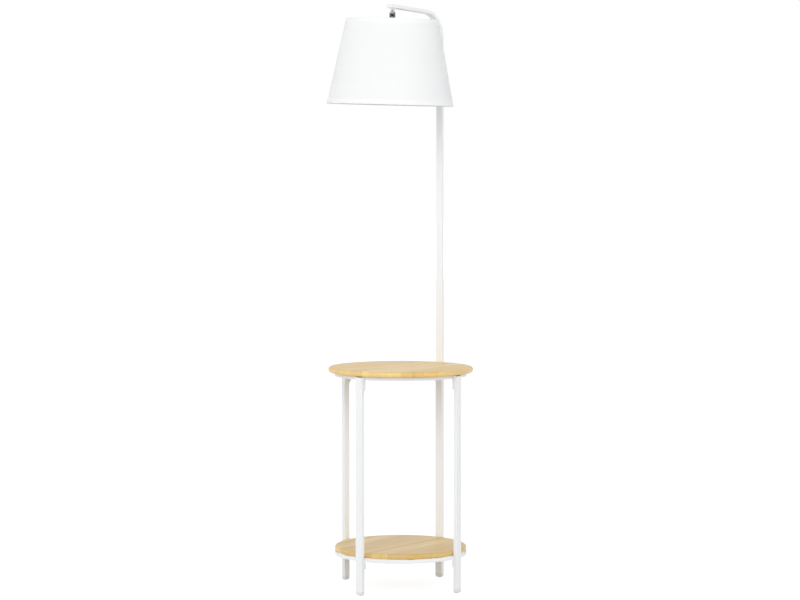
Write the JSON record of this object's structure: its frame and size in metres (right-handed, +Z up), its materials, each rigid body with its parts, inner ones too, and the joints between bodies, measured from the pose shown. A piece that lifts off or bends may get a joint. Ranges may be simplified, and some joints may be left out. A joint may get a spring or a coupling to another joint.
{
  "type": "floor lamp with table",
  "caption": "Floor lamp with a two-tier round wooden side table on a white steel frame; a bent pole carries a tapered fabric shade on a swivel above the table.",
  "frame": {"origin": "on the floor, in the middle of the outline seen from above; the table's axis stands 7 mm behind it", "axes": "+Z up; the pole stands at +Y and its arm reaches towards -Y; +X is to the right seen from the -Y side"},
  "size_m": [0.4, 0.4132, 1.6053],
  "materials": {
    "board_wood": "clear lacquer over pale bamboo strips",
    "white_steel": "fine white powder coat",
    "foot_plastic": "matte off-white",
    "white_plastic": "matte white",
    "black_plastic": "matte black",
    "zinc_steel": "zinc plated",
    "grommet_rubber": "matte",
    "dark_chrome": "dark polished plating",
    "holder_plastic": "satin moulded",
    "holder_ceramic": "unglazed",
    "contact_brass": "bright",
    "shade_cloth": "fine plain weave on a stiff backing",
    "white_wire": "white coated wire",
    "bulb_opal": "opal, frosted",
    "bulb_metal": "thin rolled"
  },
  "bodies": {
    "stand": {"top_board": "board_wood", "shelf_board": "board_wood", "upper_ring": "white_steel", "lower_ring": "white_steel", "front_leg": "white_steel", "right_leg": "white_steel", "rear_leg": "white_steel", "left_leg": "white_steel", "front_foot": "foot_plastic", "right_foot": "foot_plastic", "rear_foot": "foot_plastic", "left_foot": "foot_plastic", "front_leg_plug": "black_plastic", "right_leg_plug": "black_plastic", "left_leg_plug": "black_plastic", "upper_leg_screws": "zinc_steel", "lower_leg_screws": "zinc_steel", "leg_nuts": "zinc_steel", "top_board_screws": "zinc_steel", "shelf_board_screws": "zinc_steel", "upper_pole": "white_steel", "pole_screw": "zinc_steel", "pole_nut": "zinc_steel", "arm_end_cap": "white_plastic", "cable_grommet": "grommet_rubber", "arm_flange": "white_steel"},
    "swivel": {"stem_tube": "zinc_steel", "stem_nut": "zinc_steel", "stem_washer": "zinc_steel", "swivel_fork": "dark_chrome", "swivel_pin": "zinc_steel"},
    "lamp_head": {"swivel_eye": "dark_chrome", "holder_cap": "holder_plastic", "holder_nut": "zinc_steel", "holder_shell": "holder_plastic", "holder_core": "holder_ceramic", "centre_contact": "contact_brass", "screw_shell": "contact_brass", "upper_collar": "holder_plastic", "lower_collar": "holder_plastic", "shade_fabric": "shade_cloth", "shade_top_ring": "white_wire", "shade_spider": "white_wire", "shade_bottom_ring": "white_wire", "bulb_glass": "bulb_opal", "bulb_base": "bulb_metal"}
  },
  "joints": [
    {"name": "head_turn", "type": "hinge", "parent": "stand", "child": "swivel", "pos_m": [0, -0.031, 1.595], "axis": [0, 0.0489, 0.9988], "range_deg": [-170, 170]},
    {"name": "head_tilt", "type": "hinge", "parent": "swivel", "child": "lamp_head", "pos_m": [0, -0.03217, 1.57103], "axis": [0.8387, 0.544, -0.0266], "range_deg": [-13.1, 6.7]}
  ]
}
